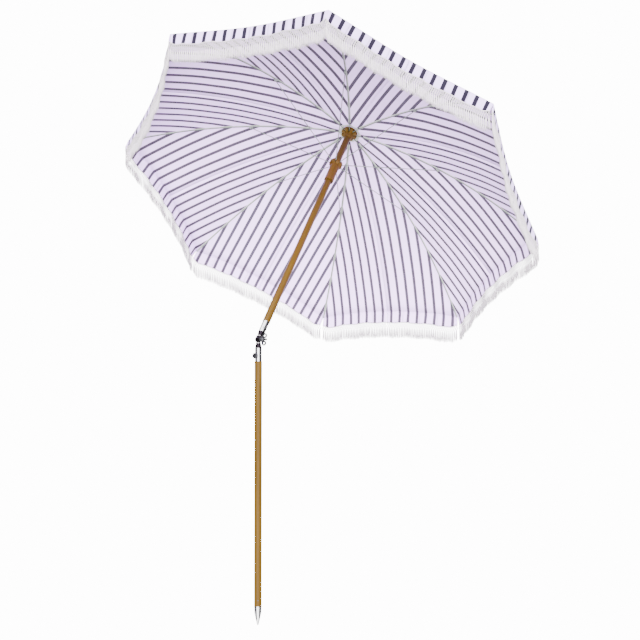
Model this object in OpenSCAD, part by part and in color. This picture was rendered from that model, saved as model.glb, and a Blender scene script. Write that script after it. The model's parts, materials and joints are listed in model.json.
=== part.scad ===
// Beach umbrella: two-part tubular pole with a ground spike, a clamped tilt joint,
// eight folding ribs with stretchers on a sliding runner, and a fringed cloth canopy.
// Millimetres. The origin is on the pole's axis at the foot of the lower pole, +Z up the pole,
// and the upper pole leans towards +X.

/* [Pole] */
// Outside diameter of both poles
pole_d = 28; // [28:0.5:30]
// Wall thickness of the pole tubes
pole_wall = 1.4; // [1.2:0.1:1.4]
// Length of the lower pole
lower_pole_len = 908; // [600:1:1200]
// Distance from the tilt hinge to the ring of rib hinges, along the upper pole
upper_len = 1174; // [1150:1:1400]
// Lean of the upper pole at rest
tilt = 39.2; // [0:0.1:45]

/* [Ground spike] */
// Length of the spike below the pole
spike_len = 71; // [50:1:120]
// Radius of the spike's rounded point
spike_tip_r = 3; // [2:0.5:5]

/* [Tilt joint] */
// Outside diameter of the two sleeves that the poles fit over
sleeve_d = 25; // [25:0.1:25.1]
// Length of the lower sleeve that shows above the pole
lower_sleeve_len = 50; // [45:1:80]
// Length of the upper sleeve that shows below the pole
upper_sleeve_len = 52; // [45:1:80]
// Distance from the top of the lower sleeve up to the tilt hinge
hinge_rise = 32; // [28:1:34]
// Diameter of the clamp bolt
bolt_d = 8; // [6:0.5:8]
// Span of the wing nut from wing to wing
wing_span = 48; // [40:1:56]
// Diameter of the thumb screw's knob
thumb_knob_d = 21; // [18:1:22]

/* [Frame] */
// Distance from the pole's axis to a rib tip
tip_r = 888; // [870:1:900]
// Depth of the rib tips below the rib hinges, along the pole
tip_drop = 340; // [335:1:345]
// How far the middle of a rib stands above the straight line between its ends
rib_bow = 61; // [60:0.5:62]
// Diameter of a rib
rib_d = 3.6; // [3:0.1:3.8]
// Distance from a rib's hinge to the stretcher's pivot, which is also the stretcher's length
stretcher_len = 410; // [405:1:415]
// Diameter of a stretcher
stretcher_d = 3.4; // [3:0.1:3.6]
// Depth of the runner's pivots below the rib hinges when the canopy is open
runner_drop = 196; // [195:1:198]
// Turn of the whole rib circle about the pole
rib_phase = 23.6; // [0:0.1:45]

/* [Canopy] */
// Thickness of the cloth solids
cloth_t = 1.2; // [0.8:0.1:2]
// Inward bow of the edge between two rib tips, as a share of the tip distance
edge_bow = 0.034; // [0.02:0.002:0.06]
// Droop of the edge between two rib tips
edge_droop = 8; // [0:1:15]
// Length of the valance that hangs from the edge
valance_len = 50; // [40:1:80]
// How far the valance gives way to gravity, from 0, square to the canopy, to 1, plumb
valance_hang = 0.75; // [0:0.05:1]
// Outward lean that the valance's stiffness adds
valance_lean = 5; // [0:1:15]
// Length of the fringe below the valance
fringe_len = 75; // [40:1:100]
// Thickness of the fringe
fringe_t = 2.4; // [1.5:0.1:4]

/* [Hidden] */

$fn = 64;
ribs = 8;
run_gap = 0.05;                       // radial clearance of a running fit
pole_r = pole_d / 2;
pole_bore_r = pole_r - pole_wall;
sleeve_r = sleeve_d / 2;
sleeve_bore_r = sleeve_r - 1.25;
plug_r = sleeve_bore_r - run_gap;
sleeve_hold = 50;                     // length of each sleeve inside its pole
sleeve_top = lower_pole_len + lower_sleeve_len;
hinge_z = sleeve_top + hinge_rise;
knuckle_r = 10;
tongue_t = 8;
ear_t = 4.6;
fork_gap = 0.06;
cone_neck_r = 8.5;
knuckle_root = knuckle_r + 1;         // where the cones end, below and above the hinge
head_cone = 34;                       // distance from the hinge to the wide end of the upper cone
bolt_r = bolt_d / 2;
ear_y = tongue_t / 2 + ear_t;         // outer face of the upper half's ears
bolt_reach = 28;
nut_len = 14;
wing_r = 9.5;                         // ring of each wing, and its distance along the bolt
wing_out = 16;
wing_t = 3.6;
thumb_z = lower_pole_len + 21;
thumb_azimuth = 172;
seam_azimuth = 232;                   // of the lower sleeve's clamping slit
rivet_r = 2.2;

// Frame geometry in a rib's own plane: x outwards from the pole's axis, z up the pole
hub_r = 24;                           // radius of the ring of rib hinges
crown_r = 35;
flange_r = 28;                        // the runner's
flange_half = 8;
slot_w = 4.4;
slot_floor_r = 18.6;
crown_neck = 30;
crown_mouth = 9;                      // half the width of the crown's slots at the rim
pole_end = 18.4;                      // how far the upper pole stands above the rib hinges
wire_r = 1;
eye_r = 3.2;
eye_t = 2.6;
chord_len = sqrt(pow(tip_r - hub_r, 2) + pow(tip_drop, 2));
chord_slope = atan(tip_drop / (tip_r - hub_r));
rib_curve_r = (pow(chord_len / 2, 2) + pow(rib_bow, 2)) / (2 * rib_bow);
rib_half_angle = asin(chord_len / 2 / rib_curve_r);
rib_start_slope = chord_slope - rib_half_angle;
rib_centre_x = hub_r - rib_curve_r * sin(rib_start_slope);
rib_centre_z = -rib_curve_r * cos(rib_start_slope);
function rib_z(x) = rib_centre_z + sqrt(pow(rib_curve_r, 2) - pow(x - rib_centre_x, 2));
function rib_slope(x) = asin((x - rib_centre_x) / rib_curve_r);
stretcher_angle = acos(runner_drop / 2 / stretcher_len);   // from the pole's axis
joint_x = hub_r + stretcher_len * sin(stretcher_angle);
joint_z = -runner_drop / 2;
joint_pin_r = 1.2;
runner_len = 114;
runner_r = 19.5;
runner_wire_ring_r = 20.6;

// The cloth: points on the sheet over one rib, at angle a from the rib
half_gore = 180 / ribs;
cloth_in_r = 17.5;
cloth_rows = 11;
row_growth = 1.6;                     // rows of points lie closer together near the crown
cloth_cols = 8;
cloth_gap = 3;                        // room for the brackets and tip caps under the cloth
crown_rise = 10;                      // how far the cloth is lifted over the crown, and to what radius
crown_reach = 54;
panel_sag = 14;
cloth_over = 7;                       // how far the cloth's corner reaches past the rib tip
function chord_pull(a) = cos(half_gore) / cos(half_gore - abs(a));
function edge_r(a) = (tip_r + cloth_over) * (1 - edge_bow * (1 - pow(1 - abs(a) / half_gore, 2)));
function cloth_z(r) = rib_z(max(r, hub_r)) + rib_d / 2 + cloth_gap
    + crown_rise * exp(-pow(r / crown_reach, 4));
function sag(a, r) = pow(sin(90 * a / half_gore), 2)
    * (panel_sag * sin(180 * r / tip_r) + edge_droop * pow(r / tip_r, 2));
function cloth_point(a, s) =
    let (r = cloth_in_r + (edge_r(a) - cloth_in_r) * s, rho = r * chord_pull(a))
    [rho * cos(a), rho * sin(a), cloth_z(r) - sag(a, r)];
function row_share(k) = pow(k / cloth_rows, row_growth);
function row_r(k) = cloth_in_r + (edge_r(0) - cloth_in_r) * row_share(k);
function panel_side(a) = sign(a) * half_gore;
function out_dir(a) = [cos(panel_side(a)), sin(panel_side(a)), 0];
function phase(i) = rib_phase + 360 / ribs * (i - 1);
function plumb(i) = [sin(tilt) * cos(phase(i)), -sin(tilt) * sin(phase(i)), -cos(tilt)];
// The valance's direction: part of the way from square to the canopy to plumb
function valance_dir(a, i) =
    let (lean = valance_lean + valance_hang * atan2(plumb(i) * out_dir(a), cos(tilt)))
    sin(lean) * out_dir(a) - [0, 0, cos(lean)];

module upper() translate([0, 0, hinge_z]) rotate([0, tilt, 0]) children();
module hub() upper() translate([0, 0, upper_len]) children();
module at_rib(i) hub() rotate([0, 0, phase(i)]) children();
module tube(r_out, r_in, h) difference() {
    cylinder(r = r_out, h = h);
    translate([0, 0, -1]) cylinder(r = r_in, h = h + 2);
}
// A cylinder of radius r along a pole's radius, from distance r0 to r1
module radial(azimuth, z, r, r0, r1)
    rotate([0, 0, azimuth]) translate([r0, 0, z]) rotate([0, 90, 0]) cylinder(r = r, h = r1 - r0);
// A cylinder along Y, centred
module cross_pin(r, len) rotate([90, 0, 0]) cylinder(r = r, h = len, center = true);

// ---- lower half ----
module ground_spike() color("silver") difference() {
    union() {
        rotate_extrude() polygon(concat(
            [[0, 30], [12.2, 30], [pole_bore_r - run_gap, 28.5], [pole_bore_r - run_gap, 0],
             [pole_r - 0.01, 0], [pole_r - 0.01, -5], [pole_r - 0.8, -7]],
            [for (k = [1:9]) let (s = k / 9)
                [spike_tip_r + (pole_r - 0.8 - spike_tip_r) * (1 - pow(s, 1.5)),
                 -7 - (spike_len - 7 - spike_tip_r) * s]],
            [for (k = [1:5]) let (s = k * 18)
                [spike_tip_r * cos(s), -spike_len + spike_tip_r * (1 - sin(s))]]));
        for (k = [0:3]) rotate([0, 0, 45 + 90 * k]) spike_fin();
    }
    for (k = [0:1]) radial(180 * k + 34, 22, rivet_r, 8, pole_r + 1);
}
module spike_fin() translate([0, 1.2, 0]) rotate([90, 0, 0]) linear_extrude(height = 2.4)
    polygon([[0, -6], [pole_r - 0.3, -6], [pole_r - 0.6, -26], [4, -spike_len + 8], [0, -spike_len + 8]]);
// Rivets that hold the spike and the lower sleeve in the lower pole
module lower_rivets() color("silver") {
    for (k = [0:1]) radial(180 * k + 34, 22, rivet_r - run_gap, 8.2, pole_r - 0.2);
    for (k = [0:1]) radial(180 * k + 124, lower_pole_len - 25, rivet_r - run_gap,
        sleeve_bore_r + 0.1, pole_r - 0.2);
}
module lower_pole() color([0.71, 0.53, 0.27]) difference() {
    tube(pole_r, pole_bore_r, lower_pole_len);
    for (k = [0:1]) radial(180 * k + 34, 22, rivet_r, 8, pole_r + 1);
    for (k = [0:1]) radial(180 * k + 124, lower_pole_len - 25, rivet_r, 8, pole_r + 1);
}
// Sleeve with a clamping slit above the thumb screw
module lower_sleeve() color("silver") difference() {
    union() {
        translate([0, 0, lower_pole_len - sleeve_hold])
            tube(sleeve_r, sleeve_bore_r, sleeve_hold + lower_sleeve_len);
        radial(thumb_azimuth, thumb_z, 6, sleeve_bore_r + 0.8, sleeve_r + 2);
    }
    radial(thumb_azimuth, thumb_z, 3 + run_gap, 0, sleeve_r + 4);
    rotate([0, 0, seam_azimuth]) translate([sleeve_bore_r - 2, -0.6, thumb_z - 4])
        cube([6, 1.2, sleeve_top - thumb_z + 6]);
    rotate([0, 0, seam_azimuth]) translate([sleeve_bore_r - 2, -1.4, thumb_z - 6])
        cube([6, 2.8, 14]);
    for (k = [0:1]) radial(180 * k + 124, lower_pole_len - 25, rivet_r, 8, pole_r + 1);
    translate([0, 0, lower_pole_len - sleeve_hold - 1]) cylinder(r = sleeve_bore_r, h = 200);
}
module thumb_screw() color("silver") {
    radial(thumb_azimuth, thumb_z, 3, plug_r + 0.05, sleeve_r + 4);
    difference() {
        rotate([0, 0, thumb_azimuth]) translate([0, 0, thumb_z]) rotate([0, 90, 0]) rotate_extrude()
            polygon([[0, sleeve_r + 2.4], [6, sleeve_r + 2.4], [7, sleeve_r + 4.4],
                [thumb_knob_d / 2 - 1, sleeve_r + 4.4], [thumb_knob_d / 2, sleeve_r + 5.4],
                [thumb_knob_d / 2, sleeve_r + 10], [thumb_knob_d / 2 - 1, sleeve_r + 11],
                [0, sleeve_r + 11.6]]);
        for (k = [0:11]) rotate([0, 0, thumb_azimuth]) translate([0, 0, thumb_z]) rotate([30 * k, 0, 0])
            translate([sleeve_r + 4, 0, thumb_knob_d / 2 + 0.9]) rotate([0, 90, 0])
                cylinder(r = 1.8, h = 8);
    }
}

// ---- tilt joint ----
module tilt_base() color("dimgray") translate([0, 0, hinge_z]) difference() {
    union() {
        rotate_extrude() polygon([[0, -knuckle_root], [cone_neck_r, -knuckle_root],
            [sleeve_r, -hinge_rise + 2], [sleeve_r, -hinge_rise], [plug_r, -hinge_rise],
            [plug_r, thumb_z - hinge_z - 12], [plug_r - 1, thumb_z - hinge_z - 13],
            [0, thumb_z - hinge_z - 13]]);
        cross_pin(knuckle_r, tongue_t);
        translate([-cone_neck_r + 1.8, -tongue_t / 2, -knuckle_root - 1])
            cube([2 * cone_neck_r - 3.6, tongue_t, knuckle_root + 1]);
    }
    cross_pin(bolt_r + run_gap, 20);
}
module tilt_head() color("silver") upper() difference() {
    union() {
        intersection() {
            union() {
                cross_pin(knuckle_r, tongue_t + 2 * ear_t);
                translate([-cone_neck_r, -20, 0]) cube([2 * cone_neck_r, 40, knuckle_root + 3]);
            }
            cube([60, tongue_t + 2 * ear_t, 60], center = true);
        }
        rotate_extrude() polygon([[0, knuckle_root + 1], [cone_neck_r, knuckle_root + 1],
            [sleeve_r, head_cone - 2], [sleeve_r, head_cone], [plug_r, head_cone],
            [plug_r, head_cone + 30], [plug_r - 1, head_cone + 31], [0, head_cone + 31]]);
    }
    translate([-30, -tongue_t / 2 - fork_gap, -30])
        cube([60, tongue_t + 2 * fork_gap, 30 + knuckle_root]);
    cross_pin(bolt_r + run_gap, 60);
    for (k = [0:1]) radial(180 * k + 34, head_cone + 18, rivet_r, plug_r - 4, 20);
}
// Bolt through the knuckle: domed head on +Y, thread out to -Y
module clamp_bolt() color("silver") translate([0, 0, hinge_z]) {
    translate([0, ear_y + 0.1, 0]) rotate([90, 0, 0]) cylinder(r = bolt_r, h = 2 * ear_y + bolt_reach);
    translate([0, ear_y + 0.1, 0]) rotate([-90, 0, 0]) rotate_extrude()
        polygon([[0, 0], [7.5, 0], [7.3, 1.6], [5.4, 3.4], [0, 4.2]]);
}
module clamp_washer() color("silver")
    translate([0, -ear_y - 0.15, hinge_z]) rotate([90, 0, 0]) tube(9, bolt_r + run_gap, 1.5);
module wing_nut() color("silver")
    translate([0, -ear_y - 1.75, hinge_z]) rotate([90, 0, 0]) rotate([0, 0, 78])
        difference() {
            union() {
                rotate_extrude() polygon([[0, 0], [8, 0], [7.6, 8], [6, nut_len], [0, nut_len]]);
                for (m = [0, 1]) mirror([m, 0, 0]) wing();
            }
            translate([0, 0, -1]) cylinder(r = bolt_r + run_gap, h = nut_len + 2);
        }
// One wing: a ring that leans away from the joint on a short web
module wing() translate([0, wing_t / 2, 0]) rotate([90, 0, 0]) linear_extrude(height = wing_t)
    difference() {
        union() {
            translate([wing_span / 2 - wing_r, wing_out]) circle(r = wing_r);
            polygon([[5, 3], [wing_span / 2 - wing_r, wing_out - wing_r + 0.1],
                [wing_span / 2 - wing_r - 5, wing_out + 7], [5, nut_len - 1]]);
        }
        translate([wing_span / 2 - wing_r, wing_out]) circle(r = wing_r - 5.7);
    }
module upper_sleeve() color("silver") upper() difference() {
    translate([0, 0, head_cone]) tube(sleeve_r, sleeve_bore_r, upper_sleeve_len + sleeve_hold);
    for (k = [0:1]) radial(180 * k + 34, head_cone + 18, rivet_r, 8, 20);
    for (k = [0:1]) radial(180 * k + 124, head_cone + upper_sleeve_len + 25, rivet_r, 8, 20);
}
module upper_pole() color([0.71, 0.53, 0.27]) upper() difference() {
    translate([0, 0, head_cone + upper_sleeve_len])
        tube(pole_r, pole_bore_r, upper_len + pole_end - head_cone - upper_sleeve_len);
    for (k = [0:1]) radial(180 * k + 124, head_cone + upper_sleeve_len + 25, rivet_r, 8, 20);
    catch_slot(catch_z - catch_len - 1, catch_len + 2.4, 3);
    radial(124, upper_len - 20, rivet_r, 8, 30);
    radial(304, upper_len - 20, rivet_r, 8, 30);
}
// Rivets of the upper half: head in sleeve, sleeve in pole, and the pins through the crown's neck
module upper_rivets() color("silver") upper() {
    for (k = [0:1]) radial(180 * k + 34, head_cone + 18, rivet_r - run_gap, plug_r - 3.8, sleeve_r + 0.4);
    for (k = [0:1]) radial(180 * k + 124, head_cone + upper_sleeve_len + 25, rivet_r - run_gap,
        sleeve_bore_r + 0.1, pole_r + 0.5);
    for (k = [0:1]) radial(180 * k + 124, upper_len - 20, rivet_r - run_gap, pole_bore_r + 0.1, 17.4);
}

// ---- runner, its catch and the crown ----
catch_azimuth = 48;
catch_len = 34;
catch_z = upper_len - runner_drop - runner_len + flange_half - 0.3;
module catch_slot(z, h, w)
    rotate([0, 0, catch_azimuth]) translate([8, -w / 2, z]) cube([12, w, h]);
// Leaf catch: stands out of the pole under the runner and is pressed flat to let it pass
module runner_catch() color("silver") upper() rotate([0, 0, catch_azimuth])
    translate([0, 1.1, catch_z]) rotate([90, 0, 0]) linear_extrude(height = 2.2)
        polygon([[pole_r - 3.4, 0], [pole_r + 3.2, 0], [pole_r + 3.2, -3], [pole_r - 0.4, -catch_len],
            [pole_r - 2, -catch_len], [pole_r + 1, -4], [pole_r - 3.4, -1.4]]);
module hub_slots(depth_r, z0, h)
    for (i = [1:ribs]) rotate([0, 0, phase(i)])
        translate([depth_r, -slot_w / 2, z0]) cube([40, slot_w, h]);
module ring_wire(ring_r, r) rotate_extrude() translate([ring_r, 0]) circle(r = r, $fn = 32);
module runner() color([0.78, 0.54, 0.31]) hub() translate([0, 0, -runner_drop]) difference() {
    bottom = flange_half - runner_len;
    rotate_extrude() polygon([[pole_r + run_gap + 0.1, bottom], [runner_r - 1, bottom],
        [runner_r, bottom + 1], [runner_r, -flange_half - 5], [flange_r - 1, -flange_half],
        [flange_r, -flange_half + 1], [flange_r, flange_half - 2], [flange_r - 2, flange_half],
        [pole_r + run_gap + 0.1, flange_half]]);
    translate([0, 0, bottom - 1]) cylinder(r = 17.2, h = 15);
    translate([0, 0, bottom - 1]) cylinder(r = pole_r + run_gap, h = runner_len + 2);
    hub_slots(slot_floor_r + 1, -30, 60);
    ring_wire(runner_wire_ring_r, wire_r + run_gap);
}
module runner_wire() color("silver") hub() translate([0, 0, -runner_drop])
    ring_wire(runner_wire_ring_r, wire_r);
module crown() color([0.66, 0.47, 0.22]) hub() difference() {
    rotate_extrude() polygon([[pole_r + run_gap, -crown_neck], [pole_r + 2, -crown_neck],
        [17.4, 4 - crown_neck], [17.8, -flange_half - 9], [20.5, -flange_half],
        [crown_r - 1, -flange_half], [crown_r, -flange_half + 1], [crown_r, flange_half - 3],
        [crown_r - 3, flange_half], [pole_r + run_gap, flange_half]]);
    for (i = [1:ribs]) rotate([0, 0, phase(i)]) translate([0, 0, -20]) linear_extrude(height = 24.5)
        polygon([[slot_floor_r, -slot_w / 2], [hub_r, -slot_w / 2], [crown_r + 1, -crown_mouth],
            [crown_r + 1, crown_mouth], [hub_r, slot_w / 2], [slot_floor_r, slot_w / 2]]);
    ring_wire(hub_r, wire_r + run_gap);
    for (k = [0:1]) radial(180 * k + 124, -20, rivet_r, 8, 30);
}
module crown_wire() color("silver") hub() ring_wire(hub_r, wire_r);
module finial() color([0.66, 0.47, 0.22]) hub() rotate_extrude() polygon(concat(
    [[0, -6], [pole_bore_r - 1, -6], [pole_bore_r - run_gap, -5],
     [pole_bore_r - run_gap, pole_end + 0.1], [17, pole_end + 0.1], [17, pole_end + 3],
     [12, pole_end + 5], [9, pole_end + 9]],
    [for (k = [0:8]) let (a = -50 + 17.5 * k) [14 * cos(a), pole_end + 20 + 14 * sin(a)]]));
// Round cloth cap over the canopy's centre
module top_cap() color("white") hub() rotate_extrude() polygon(concat(
    [for (r = cap_radii) [r, cap_under(r)]],
    [for (k = [len(cap_radii) - 1:-1:0]) [cap_radii[k], cap_under(cap_radii[k]) + cloth_t]]));
cap_radii = [15, cloth_in_r, row_r(1), 66];
function cap_under(r) = lookup(r, [for (k = [0:2]) [row_r(k), cloth_z(row_r(k))]]) + cloth_t + 0.5;

// ---- ribs and stretchers ----
module rib(i) color("whitesmoke") at_rib(i) difference() {
    union() {
        translate([rib_centre_x, 0, rib_centre_z]) rotate([90, 0, 0])
            rotate([0, 0, 90 - chord_slope - rib_half_angle])
                rotate_extrude(angle = 2 * rib_half_angle - 0.06, $fn = 720)
                    translate([rib_curve_r, 0]) circle(r = rib_d / 2, $fn = 24);
        translate([hub_r, 0, 0]) cross_pin(eye_r, eye_t);
    }
    translate([hub_r, 0, 0]) cross_pin(wire_r + 0.1, 10);
}
// Bracket with its rivet, and the tip cap that holds the cloth's corner
module rib_fittings(i) color("silver") at_rib(i) {
    difference() {
        union() {
            translate([joint_x, 0, joint_z]) bracket_cheeks();
            translate([joint_x, 0, rib_z(joint_x)]) rotate([0, rib_slope(joint_x), 0])
                cube([18, 6, 6], center = true);
        }
        translate([joint_x, 0, rib_z(joint_x)]) rotate([0, 90 + rib_slope(joint_x), 0])
            cylinder(r = rib_d / 2 + 0.08, h = 40, center = true);
        translate([joint_x - 10, -1.5, joint_z - 10]) cube([20, 3, 13.6]);
        translate([joint_x, 0, joint_z]) cross_pin(joint_pin_r + 0.03, 20);
    }
    translate([joint_x, 0, joint_z]) cross_pin(joint_pin_r, 7.2);
    translate([tip_r, 0, -tip_drop]) rotate([0, 90 + rib_slope(tip_r), 0]) tip_cap();
}
module bracket_cheeks() rotate([90, 0, 0]) linear_extrude(height = 6.6, center = true) {
    circle(r = 4);
    translate([-3.8, 0]) square([7.6, rib_z(joint_x) - joint_z]);
}
module tip_cap() rotate_extrude() polygon(concat(
    [[rib_d / 2 + 0.12, -12], [rib_d / 2 + 1, -12], [rib_d / 2 + 1, 0]],
    [for (k = [0:6]) let (a = -45 + 22.5 * k) [3.4 * cos(a), 2.6 + 3.4 * sin(a)]],
    [[0, 0.4], [rib_d / 2 + 0.12, 0.4]]));
module stretcher(i) color("whitesmoke") at_rib(i)
    translate([joint_x, 0, joint_z]) rotate([0, stretcher_angle - 180, 0]) difference() {
        union() {
            cross_pin(3, 2.4);
            translate([-1.5, -1.2, 0]) cube([3, 2.4, 8]);
            translate([0, 0, 5.5]) cylinder(r = stretcher_d / 2, h = stretcher_len - 14, $fn = 24);
            translate([-1.4, -1.1, stretcher_len - 16]) cube([2.8, 2.2, 16]);
            translate([0, 0, stretcher_len]) cross_pin(1.4, 2.2);
        }
        cross_pin(joint_pin_r + 0.06, 10);
    }

// ---- cloth ----
// Closed sheet between two grids of points with the same rows and columns
module sheet(top, under) {
    rows = len(top);
    cols = len(top[0]);
    n = rows * cols;
    function id(r, c) = r * cols + c;
    pts = concat([for (row = top) each row], [for (row = under) each row]);
    faces = concat(
        [for (r = [0:rows - 2], c = [0:cols - 2]) each
            [[id(r, c), id(r, c + 1), id(r + 1, c)], [id(r, c + 1), id(r + 1, c + 1), id(r + 1, c)],
             [n + id(r, c), n + id(r + 1, c), n + id(r, c + 1)],
             [n + id(r, c + 1), n + id(r + 1, c), n + id(r + 1, c + 1)]]],
        [for (r = [0:rows - 2]) each
            [[id(r, 0), id(r + 1, 0), n + id(r, 0)], [n + id(r, 0), id(r + 1, 0), n + id(r + 1, 0)],
             [id(r, cols - 1), n + id(r, cols - 1), id(r + 1, cols - 1)],
             [n + id(r, cols - 1), n + id(r + 1, cols - 1), id(r + 1, cols - 1)]]],
        [for (c = [0:cols - 2]) each
            [[id(0, c), n + id(0, c), id(0, c + 1)], [n + id(0, c), n + id(0, c + 1), id(0, c + 1)],
             [id(rows - 1, c), id(rows - 1, c + 1), n + id(rows - 1, c)],
             [n + id(rows - 1, c), id(rows - 1, c + 1), n + id(rows - 1, c + 1)]]]);
    polyhedron(points = pts, faces = faces, convexity = 4);
}
section_trim = 0.15;                  // clearance to the next section
cols_a = [for (c = [0:cloth_cols]) -half_gore + section_trim / 8
    + (2 * half_gore - section_trim / 4) * c / cloth_cols];
function valance_point(a, k, i) = cloth_point(a, 1) + out_dir(a) * 2 + valance_dir(a, i) * valance_len * k;
// Cloth over one rib, out to the middle of the panel on each side, with its valance
module canopy_section(i) color("white") at_rib(i) sheet(
    concat([for (r = [0:cloth_rows]) [for (a = cols_a) cloth_point(a, row_share(r)) + [0, 0, cloth_t]]],
        [for (k = [0.05, 1]) [for (a = cols_a) valance_point(a, k, i) + out_dir(a) * cloth_t]]),
    concat([for (r = [0:cloth_rows]) [for (a = cols_a) cloth_point(a, row_share(r))]],
        [for (k = [0.05, 1]) [for (a = cols_a) valance_point(a, k, i)]]));
module fringe(i) color("ivory") at_rib(i) sheet(fringe_side(i, fringe_t + cloth_t),
    fringe_side(i, cloth_t - fringe_t));
function fringe_side(i, offset) = [for (k = [0, 1]) [for (a = cols_a)
    valance_point(a, 1.008, i) + plumb(i) * fringe_len * k + out_dir(a) * offset / 2]];

ground_spike();
lower_rivets();
lower_pole();
lower_sleeve();
thumb_screw();
tilt_base();
clamp_bolt();
clamp_washer();
wing_nut();
tilt_head();
upper_sleeve();
upper_pole();
upper_rivets();
runner();
runner_wire();
runner_catch();
crown();
crown_wire();
finial();
top_cap();
for (i = [1:ribs]) {
    rib(i);
    rib_fittings(i);
    stretcher(i);
    canopy_section(i);
    fringe(i);
}
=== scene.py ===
"""Beach umbrella: cloth, fringe, materials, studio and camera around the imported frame. Metres."""
import json
import math
import random

import bpy
import numpy as np
from mathutils import Matrix, Vector


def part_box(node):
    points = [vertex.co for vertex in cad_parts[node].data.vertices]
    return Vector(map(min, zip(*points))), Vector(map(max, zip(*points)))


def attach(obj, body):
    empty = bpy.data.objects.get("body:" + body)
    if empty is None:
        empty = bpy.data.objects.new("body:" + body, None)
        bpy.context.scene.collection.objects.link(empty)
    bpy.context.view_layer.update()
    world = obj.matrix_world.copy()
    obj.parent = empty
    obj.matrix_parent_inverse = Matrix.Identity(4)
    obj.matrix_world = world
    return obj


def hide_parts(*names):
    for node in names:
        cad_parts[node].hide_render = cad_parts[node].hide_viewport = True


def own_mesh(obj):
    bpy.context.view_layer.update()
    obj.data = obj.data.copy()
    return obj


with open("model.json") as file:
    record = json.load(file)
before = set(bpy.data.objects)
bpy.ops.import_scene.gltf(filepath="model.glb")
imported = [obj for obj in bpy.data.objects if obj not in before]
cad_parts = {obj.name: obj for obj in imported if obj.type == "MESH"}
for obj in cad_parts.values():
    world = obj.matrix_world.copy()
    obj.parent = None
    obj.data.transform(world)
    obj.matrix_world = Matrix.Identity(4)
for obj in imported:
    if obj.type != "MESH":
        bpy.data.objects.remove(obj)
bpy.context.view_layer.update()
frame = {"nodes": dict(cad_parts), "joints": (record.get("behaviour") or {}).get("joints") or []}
joints = {j["name"]: j for j in frame["joints"]}
random.seed(8)

# ---------------------------------------------------------------- places from the frame
RIBS = 8
HALF = math.pi / RIBS                       # half the angle between two ribs
hinge = Vector(joints["tilt"]["pos_m"])
pole_up = Vector(joints["runner_slide"]["axis"]).normalized()
rib_pivots = [Vector(joints[f"rib_{i}_fold"]["pos_m"]) for i in range(1, RIBS + 1)]
rib_axes = [Vector(joints[f"rib_{i}_fold"]["axis"]).normalized() for i in range(1, RIBS + 1)]
hub = sum(rib_pivots, Vector()) / RIBS
HUB_R = (rib_pivots[0] - hub).length

# The cloth's shape, by the same rule as the CAD sections
TIP_R = 0.888                               # from the pole's axis to a rib's tip
TIP_DROP = 0.340                            # from the rib hinges down to a rib's tip
RIB_BOW = 0.061                             # rise of a rib's middle over its chord
CLOTH_OVER = 0.007                          # cloth past the rib's tip
CLOTH_IN = 0.0175                           # radius of the hole round the finial
CLOTH_UP = 0.0018 + 0.0030                  # half a rib, and the room for its fittings
CROWN_RISE = 0.010                          # lift of the cloth over the crown
CROWN_REACH = 0.054                         # radius of that lift
EDGE_BOW = 0.034                            # how far a panel's edge curves in, as a share of its radius
EDGE_DROOP = 0.008                          # how far it sinks between two tips
SAG = 0.014                                 # how far the panel sinks between two ribs
SLOPE_LENGTH = 1.07                         # cloth along a panel for each metre of radius
CLOTH_T = 0.0009
VALANCE = 0.050
VALANCE_HANG = 0.75                         # share of the way from square to the canopy to plumb
VALANCE_LEAN = math.radians(5)
FRINGE = 0.075

chord = math.hypot(TIP_R - HUB_R, TIP_DROP)
curve_r = ((chord / 2) ** 2 + RIB_BOW ** 2) / (2 * RIB_BOW)
start_slope = math.atan2(TIP_DROP, TIP_R - HUB_R) - math.asin(chord / 2 / curve_r)
centre_x = HUB_R - curve_r * math.sin(start_slope)
centre_z = -curve_r * math.cos(start_slope)


def rib_matrix(i):
    """Rib i's own frame: x outwards, y sideways, z up the pole, origin on the pole at the hub."""
    side, up = rib_axes[i], pole_up
    out = side.cross(up)
    m = Matrix((out, side, up)).transposed().to_4x4()
    m.translation = hub
    return m


def rib_z(x):
    return centre_z + math.sqrt(curve_r ** 2 - (x - centre_x) ** 2)


def cloth_z(r):
    return rib_z(max(r, HUB_R)) + CLOTH_UP + CROWN_RISE * math.exp(-(r / CROWN_REACH) ** 4)


def edge_r(a):
    return (TIP_R + CLOTH_OVER) * (1 - EDGE_BOW * (1 - (1 - abs(a) / HALF) ** 2))


def cloth_point(a, s):
    """Point of the sheet at angle a from the rib, s = 0 at the hub and 1 at the edge."""
    r = CLOTH_IN + (edge_r(a) - CLOTH_IN) * s
    rho = r * math.cos(HALF) / math.cos(HALF - abs(a))
    sag = math.sin(math.pi / 2 * a / HALF) ** 2 * (
        SAG * math.sin(math.pi * r / TIP_R) + EDGE_DROOP * (r / TIP_R) ** 2)
    return np.array([rho * math.cos(a), rho * math.sin(a), cloth_z(r) - sag])


def panel_uv(a, p):
    """Across and along the panel that the point belongs to, from the panel's middle line, in metres."""
    rho = math.hypot(p[0], p[1])
    return rho * math.sin(HALF - abs(a)), rho * math.cos(HALF - abs(a)) * SLOPE_LENGTH


def out_dir(half):
    """Square to the panel's edge, for the half section on side half of its rib."""
    return np.array([math.cos(HALF), half * math.sin(HALF), 0.0])


def plumb(i):
    """Straight down, in rib i's frame."""
    return np.array(rib_matrix(i).inverted().to_3x3() @ Vector((0, 0, -1)))


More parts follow.
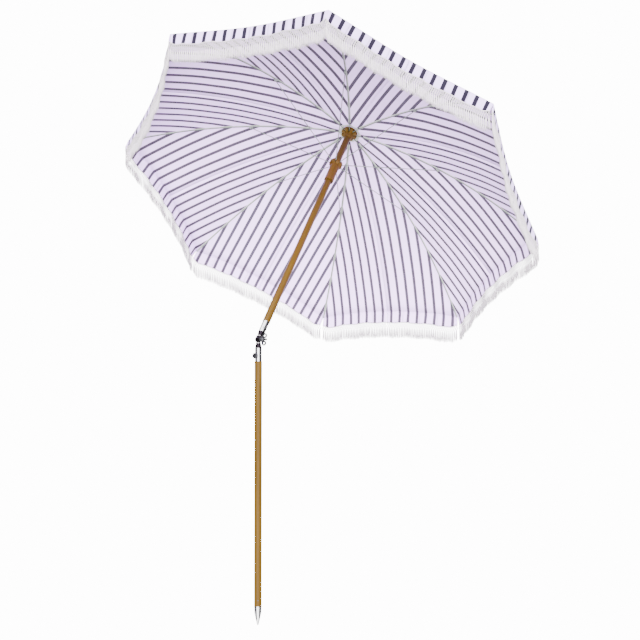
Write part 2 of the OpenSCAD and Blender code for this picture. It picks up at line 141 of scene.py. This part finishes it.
# ---------------------------------------------------------------- mesh helpers
def new_mesh(name, points, faces, materials, face_slots=None, uvs=None, smooth=True):
    mesh = bpy.data.meshes.new(name)
    mesh.from_pydata([tuple(p) for p in points], [], faces)
    for m in materials:
        mesh.materials.append(m)
    if face_slots is not None:
        mesh.polygons.foreach_set("material_index", face_slots)
    if smooth:
        mesh.polygons.foreach_set("use_smooth", [True] * len(mesh.polygons))
    if uvs is not None:
        layer = mesh.uv_layers.new(name="cloth")
        flat = []
        for loop in mesh.loops:
            flat += [uvs[loop.vertex_index][0], uvs[loop.vertex_index][1]]
        layer.data.foreach_set("uv", flat)
    mesh.update()
    obj = bpy.data.objects.new(name, mesh)
    bpy.context.scene.collection.objects.link(obj)
    return obj


def placed(points, m):
    return [m @ Vector(p) for p in points]


def double_sheet(name, grid, uv, m, materials, thickness=CLOTH_T, outward=(0, 0, 1)):
    """Closed thin sheet from a grid of points: slot 0 on the side that faces outward, slot 1 under it."""
    g = np.array(grid, float)
    rows, cols = g.shape[:2]
    du, dv = np.gradient(g, axis=0), np.gradient(g, axis=1)
    n = np.cross(dv, du)
    n /= np.maximum(np.linalg.norm(n, axis=2, keepdims=True), 1e-12)
    if (n @ np.array(outward)).mean() < 0:
        g, n = g[:, ::-1], -n[:, ::-1]
        uv = [uv[r * cols + c] for r in range(rows) for c in reversed(range(cols))]
    points = np.concatenate([(g + n * thickness).reshape(-1, 3), g.reshape(-1, 3)])
    count = rows * cols
    faces, slots = [], []
    for r in range(rows - 1):
        for c in range(cols - 1):
            a, b = r * cols + c, r * cols + c + 1
            d, e = a + cols, b + cols
            faces += [(a, d, e, b), (count + a, count + b, count + e, count + d)]
            slots += [0, 1]
    rim = ([(0, c) for c in range(cols)] + [(r, cols - 1) for r in range(1, rows)]
           + [(rows - 1, c) for c in range(cols - 2, -1, -1)] + [(r, 0) for r in range(rows - 2, 0, -1)])
    ids = [r * cols + c for r, c in rim]
    for a, b in zip(ids, ids[1:] + ids[:1]):
        faces.append((a, b, count + b, count + a))
        slots.append(1)
    return new_mesh(name, placed(points, m), faces, materials, slots, list(uv) + list(uv))


def tube_along(points, radius, sides=6):
    """Vertices and faces of a tube along a polyline, with closed ends."""
    pts = [Vector(p) for p in points]
    verts, faces = [], []
    for k, p in enumerate(pts):
        d = (pts[min(k + 1, len(pts) - 1)] - pts[max(k - 1, 0)]).normalized()
        a = d.orthogonal().normalized() if abs(d.z) > 0.99 else d.cross(Vector((0, 0, 1))).normalized()
        b = d.cross(a)
        r = radius[k] if isinstance(radius, (list, tuple)) else radius
        verts += [p + (a * math.cos(t) + b * math.sin(t)) * r
                  for t in (2 * math.pi * s / sides for s in range(sides))]
    for k in range(len(pts) - 1):
        for s in range(sides):
            q = (s + 1) % sides
            faces.append((k * sides + s, k * sides + q, (k + 1) * sides + q, (k + 1) * sides + s))
    faces.append(tuple(reversed(range(sides))))
    faces.append(tuple(range((len(pts) - 1) * sides, len(pts) * sides)))
    return verts, faces


class Bundle:
    """Collects tubes into one mesh."""
    def __init__(self):
        self.verts, self.faces = [], []

    def add(self, verts, faces):
        base = len(self.verts)
        self.verts += verts
        self.faces += [tuple(base + i for i in f) for f in faces]


# ---------------------------------------------------------------- shader helpers
def material(name):
    m = bpy.data.materials.new(name)
    m.use_nodes = True
    nodes, links = m.node_tree.nodes, m.node_tree.links
    return m, nodes, links, nodes["Principled BSDF"]


def node(nodes, kind, **values):
    n = nodes.new(kind)
    for k, v in values.items():
        setattr(n, k, v)
    return n


def math_node(nodes, links, operation, a, b=None):
    n = node(nodes, "ShaderNodeMath", operation=operation)
    for k, v in enumerate((a, b)):
        if v is None:
            continue
        if isinstance(v, (int, float)):
            n.inputs[k].default_value = v
        else:
            links.new(v, n.inputs[k])
    return n.outputs[0]


def map_range(nodes, links, value, low, high, to_low=0.0, to_high=1.0, curve="LINEAR"):
    n = node(nodes, "ShaderNodeMapRange", interpolation_type=curve)
    for k, v in (("From Min", low), ("From Max", high), ("To Min", to_low), ("To Max", to_high)):
        n.inputs[k].default_value = v
    links.new(value, n.inputs["Value"])
    return n.outputs[0]


def scaled(nodes, links, vector, scale):
    n = node(nodes, "ShaderNodeMapping")
    n.inputs["Scale"].default_value = scale
    links.new(vector, n.inputs["Vector"])
    return n.outputs[0]


def noise(nodes, links, vector, scale, detail, **more):
    n = node(nodes, "ShaderNodeTexNoise")
    for k, v in {"Scale": scale, "Detail": detail, **more}.items():
        n.inputs[k].default_value = v
    links.new(vector, n.inputs["Vector"])
    return n.outputs["Fac"]


def ramp(nodes, links, value, stops):
    n = node(nodes, "ShaderNodeValToRGB")
    links.new(value, n.inputs[0])
    while len(n.color_ramp.elements) < len(stops):
        n.color_ramp.elements.new(0.5)
    for e, (pos, colour) in zip(n.color_ramp.elements, stops):
        e.position = pos
        e.color = (*colour, 1)
    return n.outputs["Color"]


def mix_colour(nodes, links, factor, a, b):
    n = node(nodes, "ShaderNodeMix", data_type="RGBA")
    for socket, v in ((n.inputs[0], factor), (n.inputs[6], a), (n.inputs[7], b)):
        if isinstance(v, tuple):
            socket.default_value = (*v, 1)
        elif isinstance(v, float):
            socket.default_value = v
        else:
            links.new(v, socket)
    return n.outputs[2]


def add_bump(nodes, links, shader, height, strength, distance):
    b = node(nodes, "ShaderNodeBump")
    b.inputs["Strength"].default_value = strength
    b.inputs["Distance"].default_value = distance
    links.new(height, b.inputs["Height"])
    links.new(b.outputs[0], shader.inputs["Normal"])


# ---------------------------------------------------------------- materials
STRIPE_PITCH = 0.0428
STRIPE_BLUR = 0.0003                        # half the width over which a stripe's edge fades
WEAVE = 0.0011                              # distance between two threads
SLUBS = (420, 26, 1)                        # thick threads per metre across, along and through the cloth
GRAIN = (150, 150, 7)                       # fine wood grain per metre, long way last
BANDS = (26, 26, 3.2)                       # broad wood bands per metre, long way last


def striped_cloth(name, ground, stripe, shade, half_width):
    """Plain weave with pinstripes parallel to the panel's middle line."""
    m, nodes, links, shader = material(name)
    uv = node(nodes, "ShaderNodeUVMap", uv_map="cloth").outputs[0]
    split = node(nodes, "ShaderNodeSeparateXYZ")
    links.new(uv, split.inputs[0])
    across, along = split.outputs[0], split.outputs[1]
    phase = math_node(nodes, links, "FRACT", math_node(nodes, links, "DIVIDE", across, STRIPE_PITCH))
    off = math_node(nodes, links, "ABSOLUTE", math_node(nodes, links, "SUBTRACT", phase, 0.5))
    metres = math_node(nodes, links, "MULTIPLY", off, STRIPE_PITCH)
    edge = math_node(nodes, links, "SUBTRACT", half_width, metres)
    inside = map_range(nodes, links, edge, -STRIPE_BLUR, STRIPE_BLUR)
    waves = 2 * math.pi / WEAVE
    threads = [math_node(nodes, links, "SINE", math_node(nodes, links, "MULTIPLY", way, waves))
               for way in (across, along)]
    weave = math_node(nodes, links, "MULTIPLY", *threads)
    slub = noise(nodes, links, scaled(nodes, links, uv, SLUBS), 1.0, 4.0)
    place = node(nodes, "ShaderNodeTexCoord")
    soft = noise(nodes, links, place.outputs["Object"], 3.5, 3.0)
    tint = map_range(nodes, links, soft, 0.3, 0.75, 0.0, 0.35)
    base = mix_colour(nodes, links, slub, ground, shade)
    base = mix_colour(nodes, links, tint, base, shade)
    links.new(mix_colour(nodes, links, inside, base, stripe), shader.inputs["Base Color"])
    shader.inputs["Roughness"].default_value = 0.85
    shader.inputs["Sheen Weight"].default_value = 0.04
    shader.inputs["Sheen Roughness"].default_value = 0.5
    shader.inputs["Specular IOR Level"].default_value = 0.08
    add_bump(nodes, links, shader, weave, 0.25, 0.0003)
    return m


def plain_cloth(name, colour, shade, scale=900):
    m, nodes, links, shader = material(name)
    place = node(nodes, "ShaderNodeTexCoord")
    threads = noise(nodes, links, place.outputs["Object"], scale, 3.0)
    links.new(mix_colour(nodes, links, threads, colour, shade), shader.inputs["Base Color"])
    shader.inputs["Roughness"].default_value = 0.9
    shader.inputs["Sheen Weight"].default_value = 0.04
    shader.inputs["Specular IOR Level"].default_value = 0.1
    add_bump(nodes, links, shader, threads, 0.3, 0.0005)
    return m


def wood(name, light, dark, axis, gloss=0.32):
    """Lacquered wood with its grain along axis."""
    m, nodes, links, shader = material(name)
    place = node(nodes, "ShaderNodeTexCoord")
    turn = node(nodes, "ShaderNodeMapping", vector_type="TEXTURE")
    turn.inputs["Rotation"].default_value = Vector(axis).to_track_quat("Z", "Y").to_euler()
    links.new(place.outputs["Object"], turn.inputs["Vector"])
    along = turn.outputs[0]
    grain = noise(nodes, links, scaled(nodes, links, along, GRAIN), 1.0, 7.0, Roughness=0.62, Distortion=0.6)
    bands = noise(nodes, links, scaled(nodes, links, along, BANDS), 1.0, 2.0)
    middle = tuple((a + b) / 2 for a, b in zip(light, dark))
    fine = ramp(nodes, links, grain, [(0.28, dark), (0.5, middle), (0.72, light)])
    broad = ramp(nodes, links, bands, [(0.35, dark), (0.65, light)])
    links.new(mix_colour(nodes, links, 0.35, fine, broad), shader.inputs["Base Color"])
    shader.inputs["Roughness"].default_value = gloss
    shader.inputs["Specular IOR Level"].default_value = 0.12
    shader.inputs["Coat Weight"].default_value = 0.05
    shader.inputs["Coat Roughness"].default_value = 0.3
    add_bump(nodes, links, shader, grain, 0.12, 0.0004)
    return m


def metal(name, colour, shade, roughness, scale=60, metallic=1.0):
    """Metal or paint with fine wear in its gloss."""
    m, nodes, links, shader = material(name)
    place = node(nodes, "ShaderNodeTexCoord")
    wear = noise(nodes, links, place.outputs["Object"], scale, 6.0)
    links.new(mix_colour(nodes, links, wear, colour, shade), shader.inputs["Base Color"])
    gloss = map_range(nodes, links, wear, 0.0, 1.0, roughness * 0.7, roughness * 1.4)
    links.new(gloss, shader.inputs["Roughness"])
    shader.inputs["Metallic"].default_value = metallic
    add_bump(nodes, links, shader, wear, 0.04, 0.0004)
    return m


POLE_LIGHT, POLE_DARK = (0.060, 0.030, 0.0018), (0.032, 0.0155, 0.0010)
# The canopy's top side: the underside's ground colour painted about 0.6 times as dark, which is painted
# shade; its near-black stripes are the print.
cloth_outer_painted_shade = striped_cloth("cloth_outer_painted_shade", (0.46, 0.345, 0.62), (0.006, 0.004, 0.011),
                            (0.40, 0.30, 0.56), 0.0078)
cloth_under = striped_cloth("cloth_under", (0.80, 0.56, 1.00), (0.054, 0.042, 0.066),
                            (0.72, 0.49, 0.93), 0.0068)
tape_white = plain_cloth("seam_tape", (0.46, 0.47, 0.45), (0.36, 0.38, 0.36))
cotton = plain_cloth("fringe_cotton", (0.62, 0.56, 0.61), (0.20, 0.18, 0.20), scale=500)
lower_wood = wood("lower_pole_finish", POLE_LIGHT, POLE_DARK, (0, 0, 1))
upper_wood = wood("upper_pole_finish", POLE_LIGHT, POLE_DARK, pole_up)
crown_wood = wood("crown_finish", (0.085, 0.045, 0.005), (0.046, 0.024, 0.003), pole_up, 0.5)
runner_wood = wood("runner_finish", (0.075, 0.034, 0.0024), (0.044, 0.019, 0.0014), pole_up, 0.45)
chrome = metal("chrome", (0.80, 0.80, 0.82), (0.68, 0.68, 0.70), 0.09)
dark_metal = metal("dark_plated", (0.020, 0.015, 0.021), (0.012, 0.009, 0.013), 0.3)
zinc = metal("zinc_plated", (0.080, 0.080, 0.088), (0.050, 0.050, 0.056), 0.4)
rib_paint = metal("rib_paint", (0.105, 0.125, 0.110), (0.070, 0.085, 0.075), 0.45, metallic=0.0)
bracket_paint = metal("bracket_paint", (0.26, 0.29, 0.27), (0.19, 0.21, 0.20), 0.4, metallic=0.0)

# A painted highlight: a light grey band painted on the tilt hinge's dark plating where a highlight falls.
PAINTED_HIGHLIGHT = (0.42, 0.40, 0.42)
DARK_PLATING = (0.016, 0.012, 0.017)
HIGHLIGHT_MARGIN = 0.01                          # dark metal on either side of the painted highlight
HIGHLIGHT_BLUR = 0.02                            # share of the ramp over which its edge fades


def metal_with_painted_highlight(name, axis, origin, low, high):
    """The dark plating with a painted highlight band between two distances from origin along axis."""
    m = dark_metal.copy()
    m.name = name
    nodes, links = m.node_tree.nodes, m.node_tree.links
    place = node(nodes, "ShaderNodeTexCoord")
    dot = node(nodes, "ShaderNodeVectorMath", operation="DOT_PRODUCT")
    links.new(place.outputs["Object"], dot.inputs[0])
    dot.inputs[1].default_value = axis
    start, span = origin.dot(axis) + low - HIGHLIGHT_MARGIN, high - low + 2 * HIGHLIGHT_MARGIN
    share = map_range(nodes, links, dot.outputs["Value"], start, start + span)
    a, b = HIGHLIGHT_MARGIN / span, 1 - HIGHLIGHT_MARGIN / span
    colour = ramp(nodes, links, share, [(a - HIGHLIGHT_BLUR, DARK_PLATING), (a + HIGHLIGHT_BLUR, PAINTED_HIGHLIGHT),
                                        (b - HIGHLIGHT_BLUR, PAINTED_HIGHLIGHT), (b + HIGHLIGHT_BLUR, DARK_PLATING)])
    links.new(colour, nodes["Principled BSDF"].inputs["Base Color"])
    return m


# The tilt hinge's head and base: dark plating, each with a painted highlight band.
head_metal = metal_with_painted_highlight("dark_plated_head_painted_highlight", pole_up, hinge, 0.0110, 0.0150)
base_metal = metal_with_painted_highlight("dark_plated_base_painted_highlight", Vector((0, 0, 1)), hinge, -0.0140, -0.0105)

FINISHES = {
    "lower_pole": lower_wood, "upper_pole": upper_wood, "crown": crown_wood, "finial": crown_wood,
    "runner": runner_wood, "ground_spike": chrome, "lower_sleeve": chrome, "upper_sleeve": chrome,
    "tilt_base": base_metal, "tilt_head": head_metal, "thumb_screw": zinc, "clamp_bolt": zinc,
    "clamp_washer": zinc, "wing_nut": zinc, "lower_rivets": zinc, "upper_rivets": zinc,
    "runner_wire": zinc, "runner_catch": zinc, "crown_wire": zinc}
for i in range(1, RIBS + 1):
    FINISHES[f"rib_{i}"] = rib_paint
    FINISHES[f"stretcher_{i}"] = rib_paint
    FINISHES[f"rib_fittings_{i}"] = bracket_paint
for name, finish in FINISHES.items():
    data = frame["nodes"][name].data
    if not data.materials:
        data.materials.append(finish)
    for k in range(len(data.materials)):
        data.materials[k] = finish

# ---------------------------------------------------------------- cloth over one rib
ROWS, COLS = 26, 24
ROW_GROWTH = 1.25                           # rows are closer together near the hub
RIPPLE, RIPPLES = 0.0012, 9                 # height of the ripples along a panel, and half waves
TAPE_W, TAPE_T = 0.008, 0.0005
TAPE_START, TAPE_SPAN = 0.055, 0.94         # share of the rib where the tape starts, and that it covers
TAPE_FLARE, FLARE_REACH = 0.7, 0.16         # the tape is this much wider at the hub
TAPE_ROWS, TAPE_COLS = 40, 4
PATCH_IN, PATCH_W, PATCH_T = 0.037, 0.014, 0.0006
PATCH_ROWS, PATCH_COLS = 6, 12


def section_grid(i):
    grid, uv = [], []
    for r in range(ROWS + 1):
        row = []
        for c in range(COLS + 1):
            a = HALF * (2 * c / COLS - 1)
            s = (r / ROWS) ** ROW_GROWTH
            p = cloth_point(a, s)
            wave = math.sin(RIPPLES * s * math.pi + 5 * i) * math.sin(math.pi * abs(a) / HALF)
            p[2] += RIPPLE * wave * (s - s ** 6)
            row.append(p)
            uv.append(panel_uv(a, p))
        grid.append(row)
    return grid, uv


def fold_section(piece, i):
    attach(piece, f"rib_{i + 1}")
    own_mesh(piece)


def seam_tape(i, m):
    """Binding tape under the seam over the rib."""
    grid, uv = [], []
    for r in range(TAPE_ROWS + 1):
        s = TAPE_START + TAPE_SPAN * r / TAPE_ROWS
        x = cloth_point(0, s)[0]
        half = min(TAPE_W / 2 * (1 + TAPE_FLARE * math.exp(-x / FLARE_REACH)), x * 0.35)
        row = []
        for c in range(TAPE_COLS + 1):
            y = half * (2 * c / TAPE_COLS - 1)
            p = cloth_point(math.atan2(y, x), s)
            row.append(p - np.array([0, 0, 0.0009]))
            uv.append((y, s))
        grid.append(row)
    return double_sheet(f"seam_tape_{i + 1}", grid, uv, m, [tape_white, tape_white], TAPE_T)


def hub_patch(i, m):
    """One eighth of the cloth ring under the canopy's centre."""
    grid, uv = [], []
    for r in range(PATCH_ROWS + 1):
        rho = PATCH_IN + PATCH_W * r / PATCH_ROWS
        row = []
        for c in range(PATCH_COLS + 1):
            a = HALF * (2 * c / PATCH_COLS - 1)
            s = (rho - CLOTH_IN) / (edge_r(a) - CLOTH_IN)
            p = cloth_point(a, s) - np.array([0, 0, 0.0012])
            row.append(p)
            uv.append((p[0], p[1]))
        grid.append(row)
    return double_sheet(f"hub_patch_{i + 1}", grid, uv, m, [tape_white, tape_white], PATCH_T)


# ---------------------------------------------------------------- valance and fringe strips
STRIPS = 4                                  # strips in each half of a section
STRIP_ROWS, STRIP_COLS = 6, 10
HEM_STEP = 0.002                            # angle over which the hem's direction is measured
CORNER_TURN, CORNER_REACH = 0.65, 0.03      # near the rib the valance turns to face straight out
CORNER_LIFT, LIFT_REACH = 0.3, 0.014        # and is shorter
GATHER, GATHER_REACH = 0.002, 0.035         # and its hem is pulled along the edge
FOLD_STAND = 0.0022                         # the hem fold stands this far out
WAVE, WAVE_LENGTH = 0.0028, 0.105
CURL, CURL_LENGTH = 0.0012, 0.062


def hem_rest(a):
    return cloth_point(a, 1)


def valance_point(a, half, k, i):
    """Point of the valance at angle a, k = 0 at the fold and 1 at the lower hem."""
    p = hem_rest(a)
    side = abs(p[1])
    step = half * HEM_STEP
    along = hem_rest(a) - hem_rest(a - step) if abs(a) > HALF * 0.9 else hem_rest(a + step) - hem_rest(a)
    along[2] = 0
    along /= np.linalg.norm(along)
    across = np.array([along[1], -along[0], 0.0])
    across *= math.copysign(1, across @ out_dir(half))
    straight = CORNER_TURN * math.exp(-side / CORNER_REACH)
    across = across * (1 - straight) + np.array([straight, 0, 0])
    across /= np.linalg.norm(across)
    g = plumb(i)
    lean = VALANCE_LEAN + VALANCE_HANG * math.atan2(g @ across, -g[2])
    fall = across * math.sin(lean) - np.array([0, 0, math.cos(lean)])
    corner = math.exp(-(side / LIFT_REACH) ** 2)
    turn = 2 * math.pi * side
    wave = WAVE * k * math.sin(turn / WAVE_LENGTH + 1.3 * i + half) * min(1, side / 0.05)
    curl = CURL * math.sin(math.pi * k) * math.sin(turn / CURL_LENGTH + 2.1 * i)
    gather = GATHER * k * math.exp(-side / GATHER_REACH)
    stand = FOLD_STAND * min(1, 5 * k) + wave + curl
    return p + across * stand + fall * VALANCE * k * (1 - CORNER_LIFT * corner) + along * gather


def strip_squash(piece, i):
    """Attaches a strip to the runner's body and gives it its own mesh."""
    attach(piece, "runner")
    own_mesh(piece)


def strip_angles(half, k, count):
    """Angles along the hem of strip k, equally spaced from the rib to the panel's middle."""
    steps = np.linspace(k / STRIPS, (k + 1) / STRIPS, count + 1)
    return [half * HALF * s for s in steps]


def side_name(half):
    return "r" if half > 0 else "l"


def valance_strip(i, half, k, m):
    grid, uv = [], []
    angles = strip_angles(half, k, STRIP_COLS)
    if half < 0:
        angles = angles[::-1]
    for r in range(STRIP_ROWS + 1):
        row = []
        for a in angles:
            row.append(valance_point(a, half, r / STRIP_ROWS, i))
            u, v = panel_uv(a, hem_rest(a))
            uv.append((u, v + VALANCE * r / STRIP_ROWS))
        grid.append(row)
    return double_sheet(f"valance_{i + 1}_{side_name(half)}{k + 1}", grid, uv, m,
                        [cloth_outer_painted_shade, cloth_under], outward=out_dir(half))


KNOT_PITCH = 0.0085
NET = 0.026                                 # height of the knotted header
NET_CORD = 0.0008                           # radius
KNOT, KNOT_END, KNOT_UP = 0.0021, 0.0009, 0.0022
TOP_CORD = 0.0018
STRAND = [0.0008, 0.0011, 0.0011, 0.0005]   # radii down a loose strand


def fringe_strip(i, half, k, m):
    """Knotted net along the valance's hem with loose strands below it."""
    bundle = Bundle()
    angles = strip_angles(half, k, 1)
    drop = plumb(i)
    out = out_dir(half)
    width = abs(np.linalg.norm(hem_rest(angles[0]) - hem_rest(angles[1])))
    count = max(3, round(width / KNOT_PITCH))

    def at(t, depth):
        a = angles[0] + (angles[1] - angles[0]) * t
        return valance_point(a, half, 1.0, i) + drop * depth

    edge = [at(t / 12, 0.001) + out * 0.0006 for t in range(13)]
    bundle.add(*tube_along(edge, TOP_CORD, 5))
    d1, d2, d3 = NET / 3, NET * 2 / 3, NET
    for j in range(count):
        t0, t1, t2 = j / count, (j + 0.5) / count, (j + 1) / count
        cords = [(t0, t1, 0.0, d1), (t2, t1, 0.0, d1), (t1, t1, 0.0, d1),
                 (t1, t0, d1, d2), (t1, t2, d1, d2), (t0, t0, d1, d2),
                 (t0, t1, d2, d3), (t2, t1, d2, d3), (t1, t1, d2, d3)]
        for a, b, high, low in cords:
            bundle.add(*tube_along([at(a, high), at(b, low)], NET_CORD, 4))
        for d, t in ((d1, t1), (d2, t0), (d3, t1)):
            p = at(t, d)
            knot = [p - drop * KNOT_UP, p, p + drop * KNOT_UP]
            bundle.add(*tube_along(knot, [KNOT_END, KNOT, KNOT_END], 5))
        for q in (-2, -1, 0, 1, 2):
            jitter = random.uniform(-0.1, 0.1) / count
            start = at(t1 + q * 0.1 / count, NET)
            end = at(t1 + q * 0.2 / count + jitter, FRINGE * random.uniform(0.9, 1.0))
            end = end + out * random.uniform(-0.002, 0.002)
            mid = start * 0.7 + end * 0.3 + out * random.uniform(-0.0008, 0.0008)
            mid2 = start * 0.3 + end * 0.7 + out * random.uniform(-0.0012, 0.0012)
            bundle.add(*tube_along([start, mid, mid2, end], STRAND, 4))
    name = f"fringe_{i + 1}_{side_name(half)}{k + 1}"
    return new_mesh(name, placed(bundle.verts, m), bundle.faces, [cotton])


for i in range(RIBS):
    m = rib_matrix(i)
    grid, uv = section_grid(i)
    section = double_sheet(f"canopy_{i + 1}", grid, uv, m, [cloth_outer_painted_shade, cloth_under])
    tape = seam_tape(i, m)
    patch = hub_patch(i, m)
    for piece, slot in ((section, "canopy_cloth"), (tape, "fringe_cotton"), (patch, "fringe_cotton")):
        fold_section(piece, i)
    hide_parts(f"canopy_section_{i + 1}")
    for half in (-1, 1):
        for k in range(STRIPS):
            flap = valance_strip(i, half, k, m)
            strands = fringe_strip(i, half, k, m)
            strip_squash(flap, i)
            strip_squash(strands, i)
            if half > 0 and k == 0:
                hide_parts(f"fringe_{i + 1}")

# ---------------------------------------------------------------- cap over the hub
CAP_R, CAP_IN, CAP_T = 0.066, 0.0185, 0.0010
CAP_LIFT = 0.0016                           # gap between the sections and the cap
CAP_HEM = 0.0006                            # the stitched hem stands up this much
CAP_ROWS, CAP_COLS = 10, 96


def cap_point(turn, rho, lift):
    """Point above the sections, in rib 1's frame."""
    a = (turn + HALF) % (2 * HALF) - HALF
    r = rho * math.cos(HALF - abs(a)) / math.cos(HALF)
    s = (r - CLOTH_IN) / (edge_r(a) - CLOTH_IN)
    z = cloth_point(a, s)[2] + lift
    return np.array([rho * math.cos(turn), rho * math.sin(turn), z])


grid, uv = [], []
for r in range(CAP_ROWS + 1):
    rho = CAP_IN + (CAP_R - CAP_IN) * r / CAP_ROWS
    lift = CLOTH_T + CAP_LIFT + (CAP_HEM if r == CAP_ROWS - 1 else 0.0)
    row = [cap_point(2 * math.pi * c / CAP_COLS, rho, lift) for c in range(CAP_COLS + 1)]
    grid.append(row)
    uv += [(p[0], p[1]) for p in row]
cap = double_sheet("cloth_cap", grid, uv, rib_matrix(0), [cloth_outer_painted_shade, tape_white], CAP_T)
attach(cap, "upper_half")
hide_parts("top_cap")

# ---------------------------------------------------------------- leaf catch (the runner presses it flat on the real umbrella), copied rigid onto the upper half
catch_mesh = frame["nodes"]["runner_catch"].data
catch = new_mesh("leaf_catch", [v.co for v in catch_mesh.vertices],
                 [tuple(f.vertices) for f in catch_mesh.polygons], [zinc], smooth=False)
catch.matrix_world = frame["nodes"]["runner_catch"].matrix_world.copy()
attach(catch, "upper_half")
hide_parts("runner_catch")
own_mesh(catch)

# ---------------------------------------------------------------- studio
PAPER_LIGHT = 14.0                          # floor and background are one even white
FLOOR_HALF = 30
VIEW_TURN = math.radians(28.882)            # the camera looks this far to the left of +X
VIEW_RISE = math.radians(2.1485)
EYE_BACK, EYE_LEFT, EYE_DOWN = 4.84693, 0.12739, 0.99422
LENS = 62.966
LIGHT_RISE = math.radians(32)               # the middle of the studio's light is this high
ahead = Vector((math.cos(VIEW_TURN), math.sin(VIEW_TURN), 0))
right = Vector((math.sin(VIEW_TURN), -math.cos(VIEW_TURN), 0))
eye = hub - ahead * EYE_BACK - right * EYE_LEFT - Vector((0, 0, EYE_DOWN))

floor_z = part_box("ground_spike")[0][2]
corners = [(x * FLOOR_HALF, y * FLOOR_HALF, floor_z) for x, y in ((-1, -1), (1, -1), (1, 1), (-1, 1))]
floor = new_mesh("floor", corners, [(0, 1, 2, 3)], [], smooth=False)
floor_mat, _, _, floor_shader = material("floor_paper")
floor_shader.inputs["Base Color"].default_value = (0, 0, 0, 1)
floor_shader.inputs["Specular IOR Level"].default_value = 0.0
floor_shader.inputs["Emission Color"].default_value = (1, 1, 1, 1)
floor_shader.inputs["Emission Strength"].default_value = PAPER_LIGHT
floor.data.materials.append(floor_mat)
floor.visible_diffuse = False
floor.visible_glossy = False
floor.visible_shadow = False

world = bpy.data.worlds.new("studio")
bpy.context.scene.world = world
world.use_nodes = True
wn, wl = world.node_tree.nodes, world.node_tree.links
direction = node(wn, "ShaderNodeTexCoord").outputs["Generated"]


def toward(axis):
    """1 where the sky lies along axis, -1 opposite to it."""
    dot = node(wn, "ShaderNodeVectorMath", operation="DOT_PRODUCT")
    wl.new(direction, dot.inputs[0])
    dot.inputs[1].default_value = axis
    return dot.outputs["Value"]


def background(strength, colour=(1, 1, 1, 1)):
    """White light of a fixed strength, or grey light whose colour is a socket."""
    n = node(wn, "ShaderNodeBackground")
    if isinstance(colour, tuple):
        n.inputs[0].default_value = colour
    else:
        wl.new(colour, n.inputs[0])
    n.inputs[1].default_value = strength
    return n


def mix_light(factor, a, b):
    n = node(wn, "ShaderNodeMixShader")
    for k, v in enumerate((factor, a, b)):
        wl.new(v, n.inputs[k])
    return n.outputs[0]


# Surfaces are lit most from in front of the canopy's underside
TOP_LIGHT = 16.0
LIGHT_STOPS = [(0.0, 0.3), (0.5, 1.8), (1.0, TOP_LIGHT)]
facing_light = toward(Vector((0, 0, 1)) * math.sin(LIGHT_RISE) - ahead * math.cos(LIGHT_RISE))
greys = [(p, (v / TOP_LIGHT,) * 3) for p, v in LIGHT_STOPS]
lit = background(TOP_LIGHT, ramp(wn, wl, map_range(wn, wl, facing_light, -1.0, 1.0), greys))

# Mirrors see a bright strip from behind the camera to overhead, between dark side panels
sideways = math_node(wn, wl, "ABSOLUTE", toward(right))
strip = map_range(wn, wl, sideways, 0.68, 0.42, 0.0, 7.5, curve="SMOOTHSTEP")
front = map_range(wn, wl, toward(-ahead), -0.5, -0.2, curve="SMOOTHSTEP")
mirrored = node(wn, "ShaderNodeBackground")
wl.new(math_node(wn, wl, "ADD", math_node(wn, wl, "MULTIPLY", strip, front), 0.14), mirrored.inputs[1])

path = node(wn, "ShaderNodeLightPath").outputs
seen = mix_light(path["Is Glossy Ray"], lit.outputs[0], mirrored.outputs[0])
seen = mix_light(path["Is Camera Ray"], seen, background(PAPER_LIGHT).outputs[0])
wl.new(seen, wn["World Output"].inputs["Surface"])


def area_light(name, place, target, size, power):
    data = bpy.data.lights.new(name, "AREA")
    data.shape = "DISK"
    data.size = size
    data.energy = power
    light = bpy.data.objects.new(name, data)
    bpy.context.scene.collection.objects.link(light)
    light.location = place
    light.rotation_euler = (Vector(target) - Vector(place)).to_track_quat("-Z", "Y").to_euler()
    light.visible_glossy = False


area_light("key", eye + right * 2.2 + Vector((0, 0, 1.2)), hub, 2.5, 120)

# ---------------------------------------------------------------- camera
camera_data = bpy.data.cameras.new("camera")
camera_data.lens = LENS
camera_data.sensor_width = 36
camera = bpy.data.objects.new("camera", camera_data)
bpy.context.scene.collection.objects.link(camera)
look = ahead * math.cos(VIEW_RISE) + Vector((0, 0, math.sin(VIEW_RISE)))
camera.location = eye
camera.rotation_euler = look.to_track_quat("-Z", "Y").to_euler()
bpy.context.scene.camera = camera
